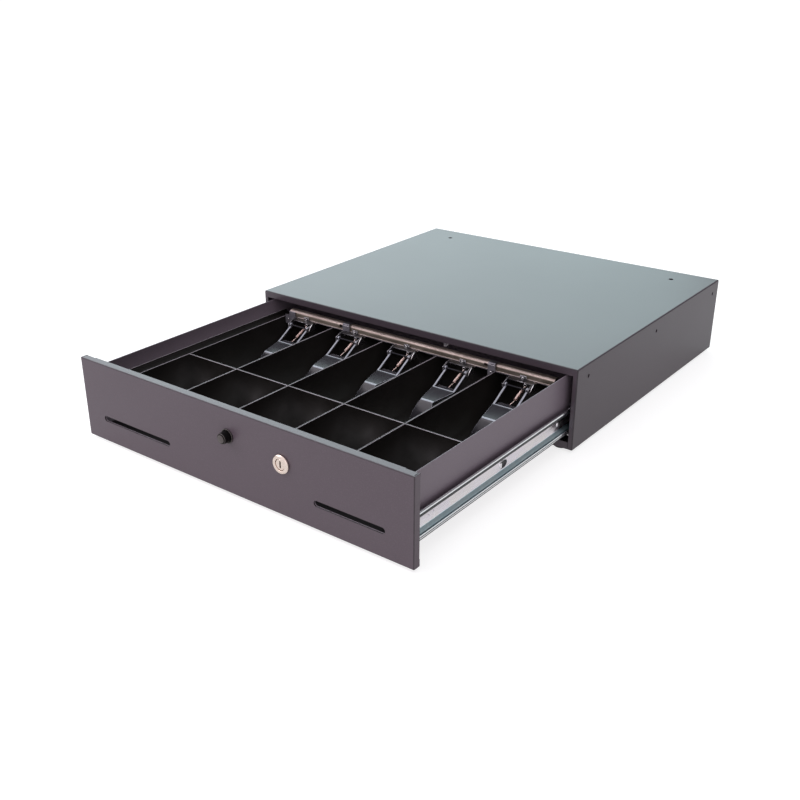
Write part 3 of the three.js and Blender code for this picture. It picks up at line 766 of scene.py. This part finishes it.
WEB, TRACK, SHADOW, LIP, CREASE_SHADOW = range(5)  # places in slide_zinc of the zinc, the painted reflection and the painted shadows
LIP_EDGE = 13.2  # the upper lip's bright edge lies above this; below it the lip's face is painted shadow
LIP_FACE = 4.9  # the lips lie further from the drawer than this
HOLLOW = 4.2  # and the hollows behind them, in painted shadow, further than this
SLOPE = 0.95  # the sloped tracks lie further from the drawer than this
TRACK_TOP, UPPER_TRACK = -5.5, 6.4  # where the lower track ends and the upper one starts
HIGHLIGHT_BANDS = ((-13.0, -11.8), (-10.9, -9.6))  # heights of the bright bands on the lower lip, which stand for highlights; painted shadow covers the rest of the lip
CREASE_SHADOW_LOW, CREASE_SHADOW_TOP = -7.65, -7.15  # painted shadow along a crease in the lower track


def track_zinc_or_shadow(across, height):
    """The tone of a spot on the moving member's section: zinc on the web and the lips' bright bands, a
    painted reflection on the lower track, and painted shadow on the rest of the lips, in the hollows, on
    the upper track and along a crease.
    """
    if height > LIP_EDGE:
        return LIP
    if across > LIP_FACE:
        return LIP if any(low < height < top for low, top in HIGHLIGHT_BANDS) else SHADOW
    if across > HOLLOW:
        return SHADOW
    if CREASE_SHADOW_LOW < height < CREASE_SHADOW_TOP:
        return CREASE_SHADOW
    if across > SLOPE and height < TRACK_TOP:
        return TRACK
    if across > SLOPE and height > UPPER_TRACK:
        return SHADOW
    return WEB


def finish_and_shade_member(obj, hand):
    """Gives each face of a moving member its zinc, painted reflection or painted shadow, by its place on
    the section.
    """
    inverse = slide_frame(hand).inverted()

    def finish_or_shadow_of(face):
        place = inverse @ face.center / MM
        return track_zinc_or_shadow(place.x, place.y)

    refinish(obj, finish_or_shadow_of)


def web_plug(hand, centre, size, span):
    """An oval through a slide's web: centre (along, height), size (half height, length over height)."""
    bm = bmesh.new()
    side = SIDE[hand]
    high, stretch = size
    rim = [(high * stretch * math.cos(a), high * math.sin(a)) for a in full_turn(24)]
    outwards = Matrix(((0, 0, side, 0), (1, 0, 0, 0), (0, 1, 0, 0), (0, 0, 0, 1)))
    extrude(bm, rim, placed(side * SLIDE_FACE, centre[0], SLIDE_MIDDLE + centre[1]) @ outwards, span)
    return bm


def rivets(hand, places):
    """Low round heads on the moving member's web, at (along, height, radius) places."""
    side = SIDE[hand]
    reach = 0.8
    facing = Matrix.Rotation(math.radians(90 * side), 4, "Y")
    for number, (along, height, radius) in enumerate(places, start=1):
        bm = bmesh.new()
        profile = [(0, 0), *dome(radius, reach, 15, 6), (0, reach)]
        seat = placed(side * (SLIDE_FACE + WEB_FACE + 0.01), along, SLIDE_MIDDLE + height)
        lathe(bm, profile, seat @ facing, 24)
        built(f"slide_rivet_{hand}_{number}", bm, zinc, "drawer", smooth=35)


def ball_cage(hand):
    """Two strips joined by a back, with a row of balls in each."""
    body = "ball_cage_" + hand
    basis = slide_frame(hand)
    row = (HALF_INNER + HALF_OUTER - 1.2) / 2  # height of a ball track from the centre line
    half = row + 0.4
    back = 8.3
    path = [(2.9, half), (back - 0.8, half)] + arc((back - 0.8, half - 0.8), 0.8, 90, 0, 3)
    path = path + [(x, -z) for x, z in path[::-1]]
    sheet = bmesh.new()
    extrude(sheet, ribbon(path, 0.5), basis, CAGE_SPAN)
    built(body + "_formed", sheet, spring_steel, body, [body], smooth=30)
    balls = bmesh.new()
    gaps = 8
    start, end = CAGE_SPAN[0] + 4, CAGE_SPAN[1] - 4
    for height in (-row, row):
        for i in range(gaps + 1):
            along = start + i * (end - start) / gaps
            centre = basis @ (Vector((4.1, height, along)) * MM)
            bmesh.ops.create_uvsphere(balls, u_segments=20, v_segments=12, radius=1.15 * MM,
                                      matrix=Matrix.Translation(centre))
    built(f"slide_balls_{hand}", balls, nickel, body, smooth=60)


LANCE_CENTRE = (-123, 0.2)  # place along the member, and height from the centre line
LANCE_HOLE = (4.4, 1.7)  # half its height, and its length over its height


def lance(hand):
    """The tongue bent out of the moving member's web, which catches on the drawer's side.

    It comes with the raised rim of the hole beside it.
    """
    bm = bmesh.new()
    side = SIDE[hand]
    along, height = LANCE_CENTRE[0], SLIDE_MIDDLE + LANCE_CENTRE[1]
    tongue = ribbon([(0.3, -7.6), (0.5, -6.4), (1.1, -4.8), (1.5, -3.4)], 0.7)
    mirror = Matrix.Diagonal((side, 1, 1, 1))
    extrude(bm, tongue, placed(side * (SLIDE_FACE + 0.1), along, height) @ mirror, (-2.6, 2.6))
    high = LANCE_HOLE[0]
    long = high * LANCE_HOLE[1]
    x = side * (SLIDE_FACE + WEB_FACE)
    rim = [spot(x, along + long * math.cos(a), height + high * math.sin(a)) for a in full_turn(24)]
    sweep(bm, rim, 0.35 * MM, 8, closed=True)
    built(f"slide_lance_{hand}", bm, zinc, "drawer", smooth=30)


def slides():
    """Both slides. The moving member has a hole at its lance, with a painted shadow on the drawer behind.
    """
    for hand in SIDE:
        slide_member(f"slide_outer_{hand}_rolled", "slide_outer_" + hand, outer_profile(),
                     OUTER_SPAN, hand, "case")
        hole = object_from("hole", web_plug(hand, LANCE_CENTRE, LANCE_HOLE, (-3, 3)))
        inner = slide_member(f"slide_inner_{hand}_rolled", "slide_inner_" + hand, inner_profile(),
                             INNER_SPAN, hand, "drawer", [hole])
        finish_and_shade_member(inner, hand)
        rivets(hand, [(-13.2, 1.6, 2.7), (-243, 2.6, 0.8), (-250, 1.2, 0.7), (44, 0, 2.7)])
        lance(hand)
        # a thin near-black disc behind the hole: painted shadow
        shadow = web_plug(hand, LANCE_CENTRE, LANCE_HOLE, (0.02, 0.2))
        built(f"slide_hole_shadow_{hand}", shadow, [slide_zinc[SHADOW]], "drawer", smooth=30)
        ball_cage(hand)


# ---- note hold-downs ----

ARM_FRONT = -33  # the paddle's arms lie behind this
ARM_LOW = 46.5  # and their tops above this
TOE_REAR = -60  # the paddle's toe lies in front of this
CREST_LOW, CREST_TOP = 0.84, 0.97  # the normal's upward part on the toe's crest, where a highlight is painted
SPRING_SHIFT = 5.5  # from a hold-down's middle to its spring


def on_paddle_arm(co):
    """Points on the two arms that join the paddle's window to its hinge."""
    return co.y > spot(0, ARM_FRONT, 0).y


def hold_down(index, column):
    """Bracket, pin, paddle and spring. The paddle has a painted highlight on its arms and along its toe's
    crest.
    """
    x = column * TILL_PITCH
    finished(f"hold_down_bracket_{index}", bracket_steel, 0.3)
    finished(f"hold_down_pin_{index}", blued_steel, 0.15)
    paddle = finished(f"hold_down_paddle_{index}", paddle_plastic,
                      0.3, 0.5, on_paddle_arm, 3)

    def in_highlight(face):
        above = face.center.z > spot(0, 0, ARM_LOW).z
        arm = on_paddle_arm(face.center) and face.normal.z > 0.5 and above
        crest = face.center.y < spot(0, TOE_REAR, 0).y and CREST_LOW < face.normal.z < CREST_TOP
        return arm or crest

    refinish(paddle, lambda face: 1 if in_highlight(face) else 0)
    hold_down_spring(index, x)
    bracket_trim(index, x)


def hold_down_spring(index, x):
    """Close-wound extension spring with a hook at each end."""
    middle = x + SPRING_SHIFT
    top, low = spot(middle, -5.4, 58.2), spot(middle, -20.6, 51.5)
    bm = bmesh.new()
    coil = helix(top, low, 1.5 * MM, 20, 12)
    eye = [spot(middle, -1.2, 60.6), spot(middle, -3.6, 59.2)]
    hook = [spot(x + 5.2, -22.6, 50.2), spot(x + 4.0, -24.6, 48.6), spot(x + 2.5, -26.4, 46.6)]
    sweep(bm, [*eye, *coil, *hook], 0.3 * MM, 7)
    along = (low - top).normalized()
    start, end = top + along * 2 * MM, low - along * 2 * MM
    obj = built(f"hold_down_spring_{index}_wound", bm, copper_wire, None,
                [f"hold_down_spring_{index}"], smooth=60)
    tuple(start)
    tuple(end)
    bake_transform(obj)


def bracket_trim(index, x):
    """Hollow rivet in the bracket's tab, the ring that takes the spring, and the curl on the right ear."""
    bm = bmesh.new()
    tube = [(0.7, -0.6), (0.7, 0.5), (0.9, 0.7), (1.5, 0.7), (1.8, 0.4), (1.8, 0), (1.0, -0.6), (0.7, -0.6)]
    lathe(bm, tube, placed(x - 2, RAIL_FRONT - 1.5, RAIL_LOW + 1.9) @ TOWARDS_FRONT, 20)
    wide = 1.7
    middle = x + SPRING_SHIFT
    ring = [spot(middle + wide * math.cos(a), -1.0, 61.4 + wide * math.sin(a)) for a in full_turn(20)]
    sweep(bm, ring, 0.4 * MM, 8, closed=True)
    curl = [
        (15.8, 3.2, 66.4), (16.8, 0.6, 67.2), (17.6, -3.0, 66.6), (17.9, -6.4, 64.6), (17.6, -9.2, 61.4),
        (17.2, -10.4, 58.2), (16.6, -9.6, 56.2),
    ]
    sweep(bm, smoothed([spot(x + a, b, c) for a, b, c in curl]), 0.5 * MM, 8)
    built(f"hold_down_trim_{index}", bm, zinc, "drawer", smooth=50)


def rail():
    """Plated channel rolled with a round front edge, a groove and a hem, and notched beside two clips."""
    thick = 0.9
    edge = thick / 2
    front, rear, top, low = RAIL_FRONT + edge, RAIL_REAR - edge, RAIL_TOP - edge, RAIL_LOW
    crown = (front + 3.9, top - 3.6)
    path = [(front - 0.1, low), (front - 0.1, low + 1.3), (front + 0.3, low + 1.7)]
    path += arc(crown, 3.6, 180, 128, 5) + arc(crown, 3.3, 124, 120, 1) + arc(crown, 3.6, 116, 90, 3)
    path += arc((rear - 1.1, top - 1.1), 1.1, 90, 0, 4) + [(rear, low)]
    bm = bmesh.new()
    extrude(bm, ribbon(path, thick), placed(0, 0, 0) @ ALONG_X, extent("hold_down_rail", X))
    obj = built("hold_down_rail_rolled", bm, yellow_zinc, "drawer",
                ["hold_down_rail"], smooth=30)
    carve(obj, [rail_notch(extent("rail_foot_" + hand, X)[0]) for hand in SIDE])
    refinish(obj, rail_finish)


def rail_finish(face):
    """Paler on the top, a painted highlight; greyer along the hem."""
    if face.normal.z > 0.35:
        return 1
    if face.center.z < spot(0, 0, RAIL_LOW + 2).z:
        return 2
    return 0


def rail_notch(right):
    """A cutter for the notch in the rail's front, to the left of a clip."""
    bm = bmesh.new()
    hole = [(-6, 3.6), (0, 3.6), (0, 7.2), (-6, 7.2)]
    extrude(bm, hole, placed(right, RAIL_FRONT + 0.8, RAIL_LOW) @ TOWARDS_FRONT, (-1.2, 2))
    return object_from("notch", bm)


def clip_rivets():
    """A bright rivet in each of the rail's clips."""
    for hand, shift, height in (("end", 5, 60.2), ("left", 2, 62.6), ("right", 4.4, 62.9)):
        x = extent("rail_foot_" + hand, X)[0] + shift
        y = extent("rail_foot_" + hand, Y)[0]
        bm = bmesh.new()
        head = [(0, -0.4), (1.0, -0.4), *dome(1.0, 0.6, 18, 5), (0, 0.6)]
        lathe(bm, head, placed(x, y, height) @ TOWARDS_FRONT, 16)
        built(f"rail_foot_{hand}_rivet", bm, zinc, "drawer", smooth=50)


def clip_folds():
    """The end of each divider clip, nipped over the rail's top edge."""
    for hand in SIDE:
        low, high = extent("rail_foot_" + hand, X)
        front = extent("rail_foot_" + hand, Y)[0]
        top = extent("rail_foot_" + hand, Z)[1]
        bm = bmesh.new()
        path = [(front + 0.6, top - 2), (front + 0.6, RAIL_TOP - 0.4), (front + 1.4, RAIL_TOP + 0.6),
                (front + 7.2, RAIL_TOP + 0.6)]
        extrude(bm, ribbon(path, 1.0), placed(0, 0, 0) @ ALONG_X, (low + 0.4, high - 0.4))
        built(f"rail_foot_{hand}_fold", bm, clip_zinc[:1], "drawer", width=0.2)


# ---- other springs ----


def coil_spring(node, start, end, radius, wire, turns, body):
    """A compression spring with closed ends."""
    bm = bmesh.new()
    sweep(bm, helix(start, end, radius * MM, turns, 18, ramp=0.8), wire * MM, 8)
    obj = built(node + "_wound", bm, spring_steel, body, [node], smooth=60)
    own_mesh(obj)


def springs():
    coil_spring("ejector_spring", spot(0, 381.6, 40), spot(0, 306.8, 40), radius=7.2, wire=0.75, turns=14,
                body="case")
    coil_spring("button_spring", spot(0, -280.7, 65), spot(0, -288.3, 65), radius=4.2, wire=0.4, turns=5,
                body="drawer")
    coil_spring("latch_spring", spot(0, -268.5, 37.9), spot(0, -268.5, 53.2), radius=3.0, wire=0.4, turns=7,
                body="drawer")


# ---- scene ----


def floor():
    """A pale sheet of studio floor."""
    bm = bmesh.new()
    bmesh.ops.create_grid(bm, x_segments=1, y_segments=1, size=14)
    obj = object_from("studio_floor", bm)
    paper = Surface("studio_paper", Metallic=0.0, Specular_IOR_Level=0.1)
    paper.colour(paper.mixed(paper.noise(3, 2), (0.37, 0.37, 0.37), (0.38, 0.38, 0.38)))
    paper.roughness(paper.ranged(paper.noise(40, 3), 0.85, 0.95))
    paper.shader.inputs["Emission Color"].default_value = (1, 1, 1, 1)
    dimmer = paper.tree.nodes.new("ShaderNodeMapRange")  # the sheet glows less in reflections
    dimmer.inputs["To Min"].default_value = 0.75
    dimmer.inputs["To Max"].default_value = 0.38
    rays = paper.tree.nodes.new("ShaderNodeLightPath")
    paper.tree.links.new(rays.outputs["Is Glossy Ray"], dimmer.inputs["Value"])
    paper.tree.links.new(dimmer.outputs["Result"], paper.shader.inputs["Emission Strength"])
    obj.data.materials.append(paper.material)


def softbox(name, place, aim, size, radiance, colour):
    """A rectangular light of a given brightness, which the camera doesn't see."""
    light = bpy.data.lights.new(name, "AREA")
    light.shape = "RECTANGLE"
    light.size, light.size_y = size
    light.energy = radiance * math.pi * size[0] * size[1]
    light.color = colour
    obj = linked(name, light)
    obj.location = place
    obj.rotation_euler = (Vector(aim) - Vector(place)).to_track_quat("-Z", "Y").to_euler()
    obj.visible_camera = False


def room_light(strength, colour, dim_towards, dim_share):
    """Even light from all round, which falls to a share of its strength towards one side of the room."""
    world = bpy.data.worlds.new("studio")
    world.use_nodes = True
    tree = world.node_tree
    background = tree.nodes["Background"]
    tint = tree.nodes.new("ShaderNodeMix")
    tint.data_type = "RGBA"
    tint.inputs[FIRST].default_value = (*colour, 1)
    tint.inputs[SECOND].default_value = (1, 1, 1, 1)
    tree.links.new(tint.outputs[MIXED], background.inputs["Color"])
    facing = tree.nodes.new("ShaderNodeVectorMath")
    facing.operation = "DOT_PRODUCT"
    facing.inputs[1].default_value = dim_towards
    tree.links.new(tree.nodes.new("ShaderNodeTexCoord").outputs["Generated"], facing.inputs[0])
    level = tree.nodes.new("ShaderNodeMapRange")
    level.interpolation_type = "SMOOTHSTEP"
    level.inputs["From Min"].default_value = 0.0
    level.inputs["From Max"].default_value = 0.8
    level.inputs["To Min"].default_value = strength
    level.inputs["To Max"].default_value = strength * dim_share
    tree.links.new(facing.outputs["Value"], level.inputs["Value"])
    seen = tree.nodes.new("ShaderNodeMix")  # the backdrop itself stays evenly white
    seen.inputs["B"].default_value = 1.0
    rays = tree.nodes.new("ShaderNodeLightPath")
    tree.links.new(rays.outputs["Is Camera Ray"], seen.inputs["Factor"])
    tree.links.new(rays.outputs["Is Camera Ray"], tint.inputs[FACTOR])
    tree.links.new(level.outputs["Result"], seen.inputs["A"])
    tree.links.new(seen.outputs["Result"], background.inputs["Strength"])
    bpy.context.scene.world = world


CAMERA_AZIMUTH, CAMERA_ELEVATION, CAMERA_ROLL = 39.436, 24.726, -0.966  # degrees
CAMERA_PLACE = Vector((0.66925, -0.94761, 0.50958))
CAMERA_LENS = 45.80  # mm, on a 36 mm frame
CAMERA_SHIFT = (0.0546, 0.0110)


def camera():
    azimuth, elevation, roll = (math.radians(v) for v in (CAMERA_AZIMUTH, CAMERA_ELEVATION, CAMERA_ROLL))
    level_reach = math.cos(elevation)
    back = Vector((math.sin(azimuth) * level_reach, -math.cos(azimuth) * level_reach, math.sin(elevation)))
    level = Vector((0, 0, 1)).cross(back).normalized()
    upright = back.cross(level)
    right = level * math.cos(roll) + upright * math.sin(roll)
    up = upright * math.cos(roll) - level * math.sin(roll)
    data = bpy.data.cameras.new("camera")
    data.sensor_width = 36
    data.lens = CAMERA_LENS
    data.shift_x, data.shift_y = CAMERA_SHIFT
    data.clip_start, data.clip_end = 0.05, 60
    obj = linked("camera", data)
    obj.matrix_world = Matrix.Translation(CAMERA_PLACE) @ Matrix((right, up, back)).transposed().to_4x4()
    bpy.context.scene.camera = obj


def studio():
    floor()
    room_light(0.97, (1.0, 0.933, 0.985), dim_towards=(0.6, 0.8, 0.0), dim_share=0.2)
    softbox("rear softbox", (-1.8, 2.3, 2.0), (0, 0.1, 0.1), (3.2, 3.4), 2.15, (0.67, 0.94, 0.94))
    softbox("overhead softbox", (0.3, -0.2, 2.6), (0, 0, 0), (2.6, 2.6), 0.7, (0.9, 1.0, 1.0))
    softbox("right softbox", (1.6, -1.2, 0.9), (0.2, -0.2, 0), (1.2, 1.2), 0.6, (1.0, 0.95, 1.0))
    softbox("left softbox", (-1.5, -1.1, 1.5), (0, 0, 0), (1.7, 1.7), 2.6, (1.0, 0.94, 1.0))
    bpy.context.scene.view_settings.view_transform = "Standard"


sheet_metal()
feet()
screws()
button_and_lock()
slides()
rail()
clip_rivets()
clip_folds()
for number, column in enumerate(COLUMNS, start=1):
    hold_down(number, column)
springs()
studio()
camera()
